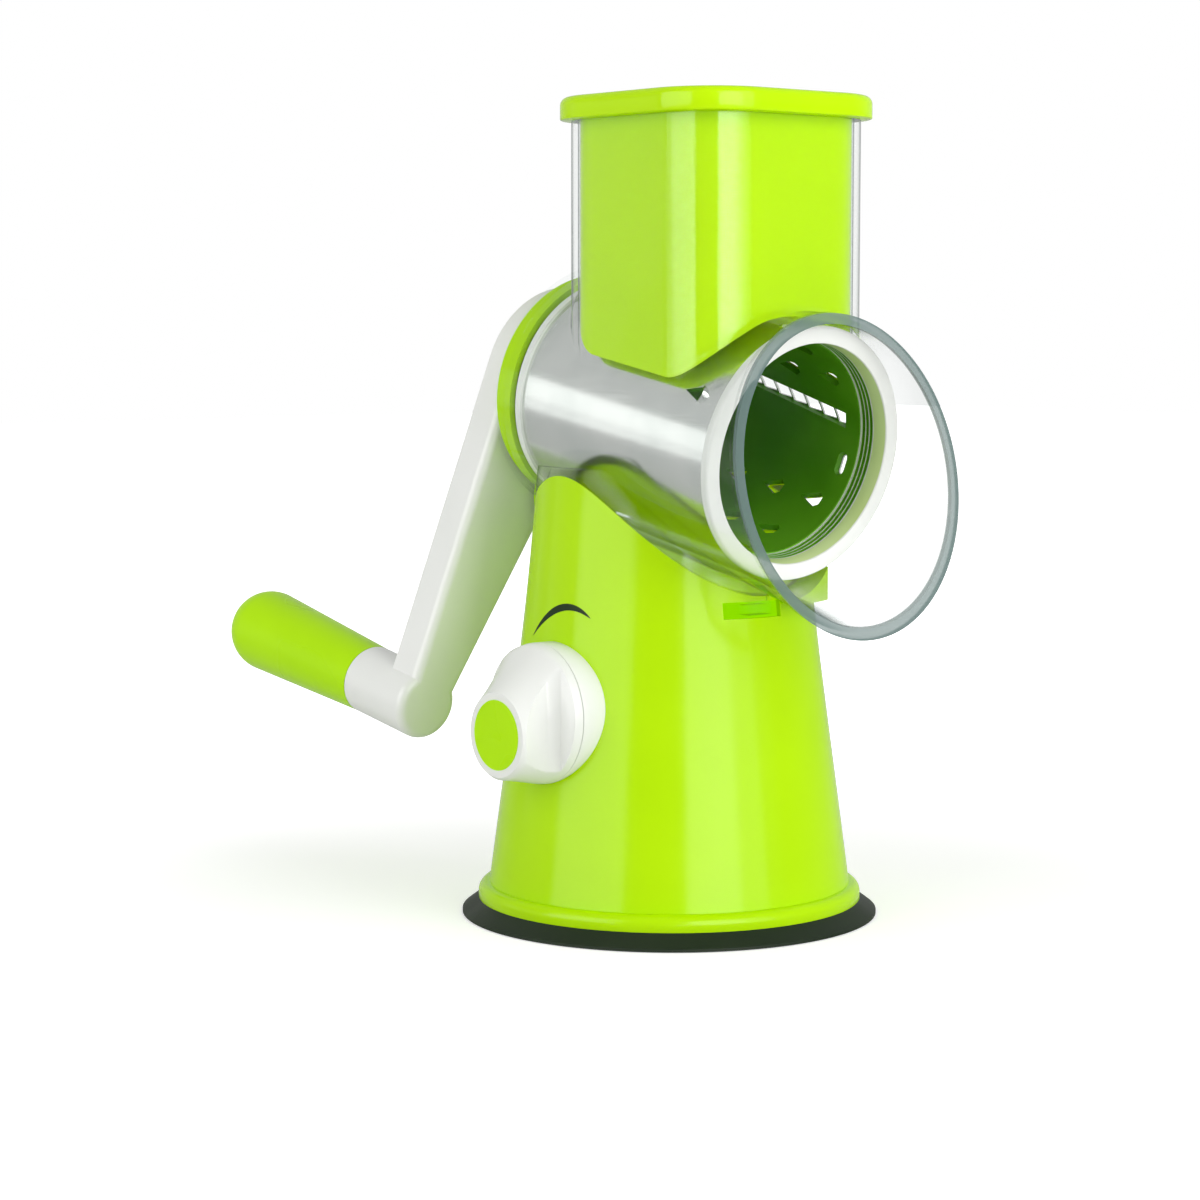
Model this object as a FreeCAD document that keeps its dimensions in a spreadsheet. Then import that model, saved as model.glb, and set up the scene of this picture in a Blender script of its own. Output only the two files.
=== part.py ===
# Hand cranked rotary vegetable cutter on a suction foot.
# Frame: origin at the centre of the foot on the table, +Z up, the outlet faces -Y,
# the lock knob faces -X. The drum axis rises to the rear by drum_tilt.
import FreeCAD, Part
import math
import os
import Sketcher
from FreeCAD import Rotation, Vector
from types import SimpleNamespace

doc = FreeCAD.newDocument("rotary_cutter")
sheet = doc.addObject("Spreadsheet::Sheet", "Sizes")

driving = [
    # foot and suction lock
    ("pad_radius", 65.0), ("pad_lip", 0.9), ("pad_top", 4.7), ("pad_dish", 1.8),
    ("foot_radius", 59.9), ("foot_top", 9.7), ("foot_screw_circle", 46.0),
    ("boss_radius", 13.2), ("boss_top", 9.0), ("boss_room", 1.3), ("pad_lift", 4.0),
    ("stud_radius", 10.0), ("stem_radius", 3.5),
    ("stem_top", 24.0), ("knob_height", 66.5), ("shaft_radius", 5.0), ("shaft_flat", 3.5),
    ("cam_radius", 9.0), ("cam_offset", 2.0), ("cam_half", 3.5), ("knob_radius", 21.4),
    ("nose_radius", 13.7), ("nose_drop", 5.2), ("nose_face", 68.4), ("seat_face", 52.0),
    ("inset_radius", 10.6),
    # tower
    ("tower_foot_radius", 56.5), ("tower_waist_radius", 48.8), ("tower_waist", 67.0),
    ("tower_neck_radius", 41.1), ("tower_top", 140.0), ("tower_wall", 2.6),
    ("tower_bow", 0.0087), ("trough_radius", 45.3), ("plate_radius", 35.5),
    ("plate_front", 38.0), ("plate_back", 42.2), ("bush_radius", 9.0), ("latch_x", -5.0),
    ("latch_half", 4.5), ("window_half", 10.5), ("window_bottom", 95.8), ("window_top", 100.8),
    # drum axis and drum
    ("drum_tilt", 10.5), ("axis_height", 156.4), ("drum_front", -61.8), ("ring_back", -59.0),
    ("neck_back", -51.0), ("sheet_back", 30.0), ("ring_radius", 38.4), ("mouth_bore", 33.3),
    ("sheet_radius", 34.8), ("sheet_thick", 0.6), ("core_wall", 1.8), ("drum_end", 33.0),
    ("hub_length", 13.0), ("drum_screw_circle", 29.2), ("tooth_pitch", 17.5),
    ("tooth_width", 4.6), ("tooth_length", 8.0), ("tooth_bulge", 1.5), ("tooth_height", 1.7),
    ("slat_pitch", 6.8),
    # clear housing, hopper and pusher
    ("barrel_front_radius", 41.4), ("barrel_back_radius", 39.2), ("barrel_wall", 2.2),
    ("barrel_front", -56.0), ("barrel_back", 37.3), ("mouth_tip", -104.0), ("flare_radius", 46.7),
    ("flare_bow", 0.0126), ("mouth_slant", 20.6), ("mouth_reach", -81.0), ("rim_length", 3.0),
    ("hopper_half", 37.0), ("hopper_corner", 20.7), ("hopper_wall", 2.0), ("hopper_y", -20.7),
    ("hopper_top", 244.5), ("pusher_half", 34.3), ("pusher_corner", 18.0), ("pusher_wall", 2.0),
    ("pusher_under", 38.9), ("cap_half", 40.0), ("cap_corner", 22.7), ("cap_bottom", 244.8),
    ("cap_top", 251.7),
    # crank and grip
    ("arm_front", 44.0), ("arm_back", 57.0), ("hub_radius", 29.0), ("arm_end_half", 8.0),
    ("arm_inset", 10.9), ("grip_x", -48.0), ("grip_drop", 104.3), ("boss_back", 75.0),
    ("grip_back", 149.6), ("grip_neck", 11.2), ("grip_swell", 13.7), ("axle_radius", 3.0),
    ("drive_radius", 6.0), ("drive_half", 4.0), ("gap", 0.3), ("running_gap", 0.06),
    # small screws and what they go into
    ("screw_radius", 1.4), ("screw_way", 1.7), ("foot_head_radius", 3.0),
    ("drum_head_radius", 2.8), ("drum_head_height", 1.4), ("core_boss_radius", 3.4),
    # rise of a quarter circle over its chord
    ("quarter_bow", 0.20710678119),
]
for row, (alias, number) in enumerate(driving, start=1):
    sheet.set("A%d" % row, alias)
    sheet.set("B%d" % row, str(number))
    sheet.setAlias("B%d" % row, alias)
doc.recompute()


class Size:
    # a number together with the sheet formula that it came from
    def __init__(self, value, text):
        self.value = value
        self.text = text

    def __add__(self, other):
        other = as_size(other)
        return Size(self.value + other.value, "(%s + %s)" % (self.text, other.text))

    def __sub__(self, other):
        other = as_size(other)
        return Size(self.value - other.value, "(%s - %s)" % (self.text, other.text))

    def __mul__(self, other):
        other = as_size(other)
        return Size(self.value * other.value, "%s * %s" % (self.text, other.text))

    def __neg__(self):
        return Size(-self.value, "(-1 * %s)" % self.text)

    def __radd__(self, other):
        return as_size(other) + self

    def __rsub__(self, other):
        return as_size(other) - self

    def __rmul__(self, other):
        return as_size(other) * self


def as_size(thing):
    if isinstance(thing, Size):
        return thing
    return Size(float(thing), "(%s)" % thing)


def cosine(angle):
    return Size(math.cos(math.radians(angle.value)), "cos(%s * 1deg)" % angle.text)


def sine(angle):
    return Size(math.sin(math.radians(angle.value)), "sin(%s * 1deg)" % angle.text)


size = SimpleNamespace()
for alias, number in driving:
    setattr(size, alias, Size(number, "Sizes." + alias))
pieces = []


def keep(thing, label):
    # the object becomes a sub-part and its label names the file
    thing.Label = label
    pieces.append(thing)


def bind(thing, path, amount):
    thing.setExpression(path, as_size(amount).text)


def place(thing, x=0, y=0, z=0):
    for axis, amount in zip("xyz", (x, y, z)):
        bind(thing, "Placement.Base." + axis, amount)
    return thing


def turn(thing, axis, angle):
    # the angle stays positive, the axis gives the sense
    thing.Placement.Rotation = Rotation(axis, as_size(angle).value)
    bind(thing, "Placement.Rotation.Angle", angle)
    return thing


def on_drum_axis(thing, along=0, across=0, down=0):
    # local Z runs to the rear along the drum axis, local Y points down
    tilt = size.drum_tilt
    turn(thing, Vector(-1, 0, 0), 90 - tilt)
    return place(thing, across, along * cosine(tilt) + down * sine(tilt),
                 size.axis_height + along * sine(tilt) - down * cosine(tilt))


def cylinder(name, radius, bottom, top, x=0, y=0):
    rod = doc.addObject("Part::Cylinder", name)
    bind(rod, "Radius", radius)
    bind(rod, "Height", as_size(top) - bottom)
    return place(rod, x, y, bottom)


def cylinder_along_x(name, radius, x_low, x_high, y, z):
    rod = cylinder(name, radius, x_low, x_high)
    turn(rod, Vector(0, 1, 0), 90)
    return place(rod, x_low, y, z)


def drum_cylinder(name, radius, front, back, across=0, down=0):
    return on_drum_axis(cylinder(name, radius, front, back), front, across, down)


def box(name, low, high):
    block = doc.addObject("Part::Box", name)
    for side, a, b in zip(("Length", "Width", "Height"), low, high):
        bind(block, side, as_size(b) - a)
    return place(block, *low)


def fuse(name, *things):
    whole = doc.addObject("Part::MultiFuse", name)
    whole.Shapes = list(things)
    whole.Refine = True
    return whole


def cut(name, base, *tools):
    tool = tools[0] if len(tools) == 1 else fuse(name + "_tools", *tools)
    rest = doc.addObject("Part::Cut", name)
    rest.Base = base
    rest.Tool = tool
    rest.Refine = True
    return rest


def common(name, first, second):
    both = doc.addObject("Part::Common", name)
    both.Base = first
    both.Tool = second
    return both


def group(name, things):
    several = doc.addObject("Part::Compound", name)
    several.Links = things
    return several


def new_body(name):
    return doc.addObject("PartDesign::Body", name)


def sketch_on(body, role, name, lift=0):
    sketch = body.newObject("Sketcher::SketchObject", name)
    plane = [part for part in body.Origin.OriginFeatures if part.Role == role][0]
    sketch.AttachmentSupport = [(plane, "")]
    sketch.MapMode = "FlatFace"
    bind(sketch, "AttachmentOffset.Base.z", lift)
    return sketch


def pin_point(sketch, edge, end, x, y):
    # fixes one point of an edge at sheet driven coordinates
    for kind, axis, amount in (("DistanceX", -2, x), ("DistanceY", -1, y)):
        if amount.value == 0:
            sketch.addConstraint(Sketcher.Constraint("PointOnObject", edge, end, axis))
        else:
            rule = Sketcher.Constraint(kind, -1, 1, edge, end, amount.value)
            number = sketch.addConstraint(rule)
            sketch.setExpression("Constraints[%d]" % number, amount.text)


def flat(x, y):
    return Vector(x.value, y.value, 0)


def bow_middle(start, end, bow):
    # middle of an arc that rises by bow times its chord to the left of its travel
    return ((start[0] + end[0]) * 0.5 - bow * (end[1] - start[1]),
            (start[1] + end[1]) * 0.5 + bow * (end[0] - start[0]))


def outline(sketch, corners):
    # closed outline of (x, y), with a bow where the edge to the next corner is an arc
    spots = [[as_size(number) for number in corner] for corner in corners]
    middles = {}
    ends = []
    for index, spot in enumerate(spots):
        after = spots[(index + 1) % len(spots)]
        start = flat(spot[0], spot[1])
        end = flat(after[0], after[1])
        curve = Part.LineSegment(start, end)
        order = (1, 2)
        if len(spot) == 3:
            middles[index] = bow_middle(spot, after, spot[2])
            middle = flat(*middles[index])
            curve = Part.Arc(start, middle, end)
            if spot[2].value > 0:
                # arcs are drawn anticlockwise, so this one runs from its end to its start
                curve = Part.Arc(end, middle, start)
                order = (2, 1)
        sketch.addGeometry(curve, False)
        ends.append(order)
    for index, spot in enumerate(spots):
        after = (index + 1) % len(spots)
        rule = Sketcher.Constraint("Coincident", index, ends[index][1], after, ends[after][0])
        sketch.addConstraint(rule)
        pin_point(sketch, index, ends[index][0], spot[0], spot[1])
    for index, middle in middles.items():
        number = sketch.addGeometry(Part.Point(flat(*middle)), True)
        pin_point(sketch, number, 1, middle[0], middle[1])
        sketch.addConstraint(Sketcher.Constraint("PointOnObject", number, 1, index))


def revolved(name, corners):
    # corners are (radius, height), turned about the local Z axis
    body = new_body(name)
    sketch = sketch_on(body, "XZ_Plane", name + "_profile")
    outline(sketch, corners)
    solid = body.newObject("PartDesign::Revolution", name + "_turned")
    solid.Profile = sketch
    solid.ReferenceAxis = (sketch, ["V_Axis"])
    solid.Angle = 360
    return body


def add_pad(body, sketch, name, thickness):
    solid = body.newObject("PartDesign::Pad", name)
    solid.Profile = sketch
    bind(solid, "Length", thickness)


def padded(name, role, corners, low, high):
    # a flat outline pushed from low to high along the plane's normal
    body = new_body(name)
    sketch = sketch_on(body, role, name + "_outline", low)
    outline(sketch, corners)
    add_pad(body, sketch, name + "_pad", as_size(high) - low)
    return body


def add_round_pad(body, name, radius, x, y, low, high):
    sketch = sketch_on(body, "XY_Plane", name + "_circle", low)
    x = as_size(x)
    y = as_size(y)
    middle = Vector(x.value, y.value, 0)
    sketch.addGeometry(Part.Circle(middle, Vector(0, 0, 1), radius.value), False)
    pin_point(sketch, 0, 3, x, y)
    number = sketch.addConstraint(Sketcher.Constraint("Radius", 0, radius.value))
    sketch.setExpression("Constraints[%d]" % number, radius.text)
    add_pad(body, sketch, name + "_pad", as_size(high) - low)


def round_edges(body, name, radius, chosen):
    # rounds those edges of the body's last feature that the test picks
    doc.recompute()
    last = body.Tip
    names = ["Edge%d" % (i + 1) for i, edge in enumerate(last.Shape.Edges) if chosen(edge)]
    feature = body.newObject("PartDesign::Fillet", name)
    feature.Base = (last, names)
    bind(feature, "Radius", radius)


def is_upright(edge):
    return len(edge.Vertexes) == 2 and edge.BoundBox.ZLength > 0.999 * edge.Length


def blended(name, base, radius, chosen):
    # rounds the picked edges of a joined solid
    doc.recompute()
    feature = doc.addObject("Part::Fillet", name)
    feature.Base = base
    feature.Edges = [(number + 1, radius, radius) for number, edge in enumerate(base.Shape.Edges)
                     if chosen(edge)]
    return feature


def lies_at(height):
    def test(edge):
        around = edge.BoundBox
        return abs(around.ZMin - height) < 1e-3 and abs(around.ZMax - height) < 1e-3
    return test


def rounded_square(name, half, corner, bottom, top):
    # upright rounded square centred on the hopper
    near = size.hopper_y - half
    far = size.hopper_y + half
    corners = [(-half, near), (half, near), (half, far), (-half, far)]
    block = padded(name, "XY_Plane", corners, bottom, top)
    round_edges(block, name + "_corners", corner, is_upright)
    return block


def suction_pad():
    stem = size.stem_radius + size.running_gap
    stud = size.stud_radius + size.running_gap
    keep(revolved("pad", [
        (0, size.pad_dish), (46, size.pad_dish), (50, 0), (size.pad_radius, 0),
        (size.pad_radius, size.pad_lip), (size.foot_radius, size.pad_top),
        (size.boss_radius, size.pad_top), (size.boss_radius, size.boss_top),
        (stem, size.boss_top), (stem, 5.6), (stud, 5.6), (stud, 3.2), (0, 3.2)]), "suction_pad")


def foot_screw_places():
    # (angle, x, y) of each screw that joins the foot to the tower
    places = []
    for index in range(4):
        angle = math.radians(45 + 90 * index)
        places.append((angle, size.foot_screw_circle * math.cos(angle),
                       size.foot_screw_circle * math.sin(angle)))
    return places


def base_plate():
    rim = size.foot_radius
    top = size.foot_top
    hole = size.boss_radius + size.boss_room
    disc = revolved("foot_disc", [
        (hole, size.pad_top), (rim, size.pad_top), (rim, top - 3, -size.quarter_bow), (rim - 3, top),
        (53.4, top), (53.4, 12.5), (51.6, 12.5), (51.6, 7.2), (hole + 2, 7.2), (hole + 2, 12),
        (hole, 12)])
    uprights = []
    for side, low in (("left", -12), ("right", 8)):
        uprights.append(padded("upright_" + side, "YZ_Plane", [
            (-17, 6.5), (17, 6.5), (9, size.knob_height, -0.5), (-9, size.knob_height)],
            low, low + 4))
    # the pad's boss and its stud rise between the legs of the uprights
    holes = [cylinder_along_x("upright_bore", size.shaft_radius + size.running_gap, -20, 20,
                              0, size.knob_height),
             cylinder("boss_way", hole, 4, size.boss_top + size.pad_lift + 0.6)]
    for index, (angle, x, y) in enumerate(foot_screw_places()):
        holes.append(cylinder("foot_screw_hole_%d" % index, size.screw_way, 0, 20, x, y))
        holes.append(cylinder("foot_screw_sink_%d" % index,
                              size.foot_head_radius + size.gap, 4, 6.2, x, y))
    keep(cut("foot", fuse("foot_solid", disc, *uprights), *holes), "base_plate")


def base_screws():
    screws = []
    for index, (angle, x, y) in enumerate(foot_screw_places()):
        head = cylinder("foot_screw_head_%d" % index, size.foot_head_radius, 4.9, 6.2, x, y)
        shank = cylinder("foot_screw_shank_%d" % index, size.screw_radius, 6, 22, x, y)
        screws.append(fuse("foot_screw_%d" % index, head, shank))
    keep(group("foot_screws", screws), "base_screws")


def tower_form(name, inset, bow=size.tower_bow):
    # the tapered tower outline, moved inwards by inset
    foot = size.tower_foot_radius - inset
    waist = size.tower_waist_radius - inset
    neck = size.tower_neck_radius - inset
    upper = (waist, size.tower_waist, bow) if bow else (waist, size.tower_waist)
    return revolved(name, [(0, size.foot_top), (foot, size.foot_top), upper,
                           (neck, size.tower_top), (0, size.tower_top)])


def tower_bosses():
    # screw bosses that stand on the foot, each with a rib to the tower's wall
    bosses = []
    for index, (angle, x, y) in enumerate(foot_screw_places()):
        boss = cylinder("tower_boss_%d" % index, 4.5, 7.3, 34, x, y)
        rib = box("tower_rib_%d" % index, (0, 0, 14), (9, 3, 34))
        turn(rib, Vector(0, 0, 1), math.degrees(angle))
        place(rib, x + 1.5 * math.sin(angle), y - 1.5 * math.cos(angle), 14)
        pilot = cylinder("tower_pilot_%d" % index, size.screw_radius, 5, 26, x, y)
        bosses.append(cut("tower_boss_drilled_%d" % index,
                          fuse("tower_boss_ribbed_%d" % index, boss, rib), pilot))
    limit = fuse("boss_limit", tower_form("boss_limit_upper", 1.3, None),
                 cylinder("boss_limit_lower", 51, 5, 12))
    return common("tower_bosses", fuse("boss_ears", *bosses), limit)


def tower():
    wall = size.tower_wall
    inside = cut("tower_inside", tower_form("tower_hollow", wall, None),
                 drum_cylinder("trough_floor", size.trough_radius + wall, -100, 100))
    neck = padded("neck", "YZ_Plane", [
        (42, 88), (44.3, 88), (48, 129), (45, 144.5), (41, 143.7), (40, 118), (40, 92)], -16, 16)
    chin = padded("chin", "XY_Plane", [
        (6, -38), (25, -38), (25, -45, 0.049), (6, -51.2)], 99.6, 114)
    shell = cut("tower_shell", fuse("tower_mass", tower_form("tower_outside", 0), neck, chin),
                inside, drum_cylinder("trough", size.trough_radius, -100, size.plate_front))

    plate = drum_cylinder("plate", size.plate_radius, size.plate_front, size.plate_back)
    spigot = drum_cylinder("spigot", size.barrel_back_radius - size.barrel_wall - size.gap,
                           size.plate_front - 4, size.plate_front + 1)
    spigot = cut("spigot_ring", spigot, drum_cylinder(
        "spigot_bore", 34.7, size.plate_front - 5, size.plate_front))
    latch = size.latch_x
    room = size.latch_half + 0.7
    holes = [
        cylinder_along_x("shaft_hole", size.shaft_radius + 1.5, -60, -30, 0, size.knob_height),
        drum_cylinder("bush_hole", size.bush_radius, 25, 55),
        box("latch_window", (latch - size.window_half, -60, size.window_bottom),
            (latch + size.window_half, -38, size.window_top)),
        box("latch_notch", (latch - room, -60, size.window_bottom + 2), (latch + room, -44, 112))]
    solid = fuse("tower_solid", shell, plate, spigot, tower_bosses())
    keep(cut("tower_body", solid, *holes), "tower")


def shaft_bush():
    bore = size.drive_radius + size.running_gap
    front = size.plate_front
    bush = revolved("bush", [
        (bore, front - 1.8), (12, front - 1.8), (12, front), (size.bush_radius, front),
        (size.bush_radius, size.arm_front - 1), (bore, size.arm_front - 1)])
    keep(on_drum_axis(bush), "shaft_bush")


def knob_bezel():
    height = size.knob_height
    disc = cylinder_along_x("seat_disc", size.knob_radius, -size.seat_face, -38, 0, height)
    bore = cylinder_along_x("seat_bore", size.shaft_radius + size.running_gap, -60, -30, 0, height)
    keep(cut("seat", disc, tower_form("seat_limit", 0), bore), "knob_bezel")


def cam_shaft():
    height = size.knob_height
    rod = cylinder_along_x("shaft_round", size.shaft_radius, -63, 14.5, 0, height)
    flat = box("shaft_flat", (-4.5, -6, height + size.shaft_flat), (20, 6, height + 8))
    tapped = cylinder_along_x("shaft_tapped", 1.6, -64, -55, 0, height)
    groove = cut("clip_groove", cylinder_along_x("groove_outer", 7, 12.6, 13.6, 0, height),
                 cylinder_along_x("groove_inner", 4, 12, 14, 0, height))
    keep(cut("shaft_cut", rod, flat, tapped, groove), "cam_shaft")


def shaft_clip():
    height = size.knob_height
    ring = cylinder_along_x("clip_outer", 7.5, 12.6, 13.6, 0, height)
    bore = cylinder_along_x("clip_inner", 4, 12, 14, 0, height)
    keep(cut("clip", ring, bore, box("clip_gap", (12, -2, height - 9), (14, 2, height))),
         "shaft_clip")


def cam():
    # at rest the cam's middle lies behind and below the shaft
    height = size.knob_height
    disc = cylinder_along_x("cam_disc", size.cam_radius, -size.cam_half, size.cam_half,
                            size.cam_offset, height - size.cam_offset)
    bore = cut("cam_bore", cylinder_along_x("cam_bore_round", size.shaft_radius, -6, 6, 0, height),
               box("cam_bore_flat", (-8, -6, height + size.shaft_flat), (8, 6, height + 8)))
    keep(cut("cam_cut", disc, bore), "cam")


def pull_rod():
    # the window leaves room for the cam's sideways travel and lifts on its top edge
    middle = size.knob_height - size.cam_offset
    reach = size.cam_radius + size.cam_offset * math.sqrt(2) + 0.4
    rise = size.cam_radius + 0.35
    bar = padded("rod_bar", "YZ_Plane", [
        (-7, 14), (7, 14), (7, 42), (reach + 3.5, middle - rise - 4),
        (reach + 3.5, middle + rise + 3.5), (-reach - 3.5, middle + rise + 3.5),
        (-reach - 3.5, middle - rise - 4), (-7, 42)], -3, 3)
    sleeve = cylinder("rod_sleeve", 6, 14, 30)
    window = box("rod_window", (-6, -reach, middle - rise), (6, reach, middle + rise))
    socket = cylinder("rod_socket", size.stem_radius, 13, size.stem_top)
    cross = cylinder_along_x("rod_cross", 1.5, -8, 8, 0, 19)
    keep(cut("rod", fuse("rod_solid", bar, sleeve), window, socket, cross), "pull_rod")


def pad_stud():
    stud = revolved("stud", [
        (0, 3.25), (size.stud_radius, 3.25), (size.stud_radius, 5.5), (size.stem_radius, 5.5),
        (size.stem_radius, size.stem_top), (0, size.stem_top)])
    keep(cut("stud_drilled", stud, cylinder_along_x("stud_cross", 1.5, -6, 6, 0, 19)), "pad_stud")


def rod_pin():
    keep(cylinder_along_x("pin", 1.5, -6, 6, 0, 19), "rod_pin")


def knob():
    height = size.knob_height
    face = size.seat_face + size.gap
    stations = [
        (face, size.knob_radius, 0), (face + 2.7, size.knob_radius - 0.4, 0.1),
        (face + 8.5, size.nose_radius + 3.4, size.nose_drop * 0.55),
        (size.nose_face - 1.2, size.nose_radius, size.nose_drop),
        (size.nose_face, size.nose_radius - 0.9, size.nose_drop)]
    rings = []
    for index, (reach, radius, drop) in enumerate(stations):
        ring = doc.addObject("Part::Circle", "knob_ring_%d" % index)
        bind(ring, "Radius", radius)
        turn(ring, Vector(0, -1, 0), 90)
        rings.append(place(ring, -reach, 0, height - drop))
    skins = []
    for name, chosen in (("knob_base", rings[:2]), ("knob_neck", rings[1:4]),
                         ("knob_nose", rings[3:])):
        loft = doc.addObject("Part::Loft", name)
        loft.Sections = chosen
        loft.Solid = True
        loft.Ruled = len(chosen) == 2
        skins.append(loft)
    tools = [
        cylinder_along_x("knob_bore", size.shaft_radius, -63, -40, 0, height),
        cylinder_along_x("knob_screw_hole", 1.6, -70, -60, 0, height),
        cylinder_along_x("knob_screw_sink", 3.4, -70, -64.5, 0, height),
        cylinder_along_x("inset_seat", size.inset_radius, -size.nose_face - 1,
                         1.4 - size.nose_face, 0, height - size.nose_drop)]
    for side in (-1, 1):
        scoop = cylinder("knob_scoop_%d" % (side + 1), 12, height - 30, height + 30, -62, 24 * side)
        limit = box("scoop_limit_%d" % (side + 1), (-80, -40, 30), (-face - 2.8, 40, 100))
        tools.append(common("finger_scoop_%d" % (side + 1), scoop, limit))
    keep(cut("knob_cut", fuse("knob_solid", *skins), *tools), "knob")


def knob_inset():
    keep(cylinder_along_x("inset_disc", size.inset_radius, -size.nose_face - 0.2,
                          1.4 - size.nose_face, 0, size.knob_height - size.nose_drop),
         "knob_inset")


def knob_screw():
    height = size.knob_height
    head = cylinder_along_x("knob_screw_head", 3, -66.4, -64.5, 0, height)
    shank = cylinder_along_x("knob_screw_shank", 1.6, -65, -56, 0, height)
    keep(fuse("knob_screw_solid", head, shank), "knob_screw")


# angle of each row of teeth from +X towards up, and the place of its front tooth
tooth_rows = [(-92, -40.5), (-64, -35.5), (-36, -40.5), (35, -40.5), (55, -35.5),
              (83, -40.5), (111, -35.5)]
lone_tooth = (153, -47)


def tooth_places():
    places = []
    for angle, front in tooth_rows:
        along = front
        while along < 20:
            places.append((angle, along - 2))
            along += size.tooth_pitch.value
    return places + [lone_tooth]


def facing(solid, angle, along):
    # turns a solid that points along local X to its angle, and moves it along the axis
    solid.rotate(Vector(0, 0, 0), Vector(0, 0, 1), -angle)
    solid.translate(Vector(0, 0, along))
    return solid


def teardrop(low, depth, growth, plain):
    # drop with a bulging front end and its point to the rear, or with a plain cut front
    half = size.tooth_width.value / 2 + growth
    bulge = size.tooth_bulge.value + growth
    tip = Vector(low, 0, size.tooth_length.value - size.tooth_bulge.value + growth)
    left = Vector(low, -half, 0)
    right = Vector(low, half, 0)
    front = [Part.Arc(left, Vector(low, 0, -bulge), right).toShape()]
    if plain:
        corners = [left, Vector(low, -half / 2, -bulge), Vector(low, half / 2, -bulge), right]
        front = Part.makePolygon(corners).Edges
    sides = Part.makePolygon([right, tip, left]).Edges
    return Part.Face(Part.Wire(front + sides)).extrude(Vector(depth, 0, 0))


def raised_lip(base, height, thick):
    # arched wall round the front end of a drop, cut on a slope so that its middle stands highest
    half = size.tooth_width.value / 2
    bulge = size.tooth_bulge.value
    arches = []
    for grown in (0, thick):
        left = Vector(base, -half - grown, 0)
        right = Vector(base, half + grown, 0)
        arch = Part.Arc(left, Vector(base, 0, -bulge - grown), right).toShape()
        arches.append(Part.Face(Part.Wire([arch, Part.LineSegment(right, left).toShape()])))
    wall = arches[1].cut(arches[0]).Faces[0].extrude(Vector(height + 1, 0, 0))
    high = base + height
    front = -bulge - thick
    wide = 4 * half
    corners = [Vector(high, 0, front), Vector(base + 0.5, 0, 0), Vector(high + 3, 0, 0),
               Vector(high + 3, 0, front)]
    slope = Part.Face(Part.makePolygon(corners + corners[:1])).extrude(Vector(0, wide, 0))
    slope.translate(Vector(0, -wide / 2, 0))
    return wall.cut(slope)


# the slot: its first slat's place and angle, turn per millimetre to the rear, slats, the rib
# between two of them, half width, and how far each slat's ends lean over
slot = SimpleNamespace(front=-44.9, angle=11.2, turn=0.2, slats=9, rib=1.1, half=1.95, lean=1.0)
oval = SimpleNamespace(angle=-13, along=-45.6, radius=1.5, reach=1.7)
window_depth = 6.0


def slot_windows(low, growth, plain):
    # slanted slats with ribs between them, or one opening that leaves all the ribs free
    pitch = size.slat_pitch.value
    if plain:
        length = slot.slats * pitch - slot.rib
        turned = slot.turn * length / 2
        shift = size.sheet_radius.value * math.sin(math.radians(turned))
        half = slot.half + growth
        corners = [Vector(low, shift - half, 0), Vector(low, shift + half, 0),
                   Vector(low, half - shift, length), Vector(low, -half - shift, length)]
        face = Part.Face(Part.makePolygon(corners + corners[:1]))
        return [facing(face.extrude(Vector(window_depth, 0, 0)), slot.angle + turned, slot.front)]
    tools = []
    back = pitch - slot.rib
    for index in range(slot.slats):
        along = index * pitch
        corners = [Vector(low, -slot.half, slot.lean), Vector(low, slot.half, -slot.lean),
                   Vector(low, slot.half, back - slot.lean), Vector(low, -slot.half, back + slot.lean)]
        face = Part.Face(Part.makePolygon(corners + corners[:1]))
        tools.append(facing(face.extrude(Vector(window_depth, 0, 0)),
                            slot.angle + slot.turn * along, slot.front + along))
    return tools


def drum_windows(low, growth, plain):
    # every opening through the drum wall: drops, the slot and the small oval
    tools = [facing(teardrop(low, window_depth, growth, plain), angle, along)
             for angle, along in tooth_places()]
    tools += slot_windows(low, growth, plain)
    radius = oval.radius + growth
    reach = oval.reach
    ends = [Part.makeCylinder(radius, window_depth, Vector(low, side * reach, 0), Vector(1, 0, 0))
            for side in (-1, 1)]
    middle = Part.makeBox(window_depth, 2 * reach, 2 * radius, Vector(low, -reach, -radius))
    tools.append(facing(middle.fuse(ends).removeSplitter(), oval.angle, oval.along))
    return Part.makeCompound(tools)


def shape_feature(name, shape):
    feature = doc.addObject("Part::Feature", name)
    feature.Shape = shape
    return feature


def drum_ring():
    neck = size.sheet_radius - size.sheet_thick
    edge = size.ring_radius
    front = size.drum_front
    ring = revolved("front_ring", [
        (size.mouth_bore, front), (edge - 0.8, front), (edge, front + 0.8),
        (edge, size.ring_back), (neck, size.ring_back), (neck, size.neck_back),
        (neck - 1.4, size.neck_back), (neck - 1.4, front + 5)])
    keep(on_drum_axis(ring), "drum_ring")


def drum_blade():
    radius = size.sheet_radius
    tube = cut("sheet_tube", cylinder("sheet_outer", radius, size.ring_back, size.sheet_back),
               cylinder("sheet_inner", radius - size.sheet_thick, -70, 50))
    inner = radius.value - size.sheet_thick.value
    pierced = cut("sheet_pierced", tube,
                  shape_feature("sheet_windows", drum_windows(inner - 3, 0, False)))
    lips = [facing(raised_lip(inner + 0.2, size.tooth_height.value, size.sheet_thick.value),
                   angle, along) for angle, along in tooth_places()]
    blade = fuse("sheet_toothed", pierced, shape_feature("sheet_lips", Part.makeCompound(lips)))
    keep(on_drum_axis(blade), "drum_blade")


def drum_screw_places():
    places = []
    for index in range(3):
        angle = math.radians(90 + 120 * index)
        places.append((size.drum_screw_circle * math.cos(angle),
                       size.drum_screw_circle * math.sin(angle)))
    return places


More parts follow.
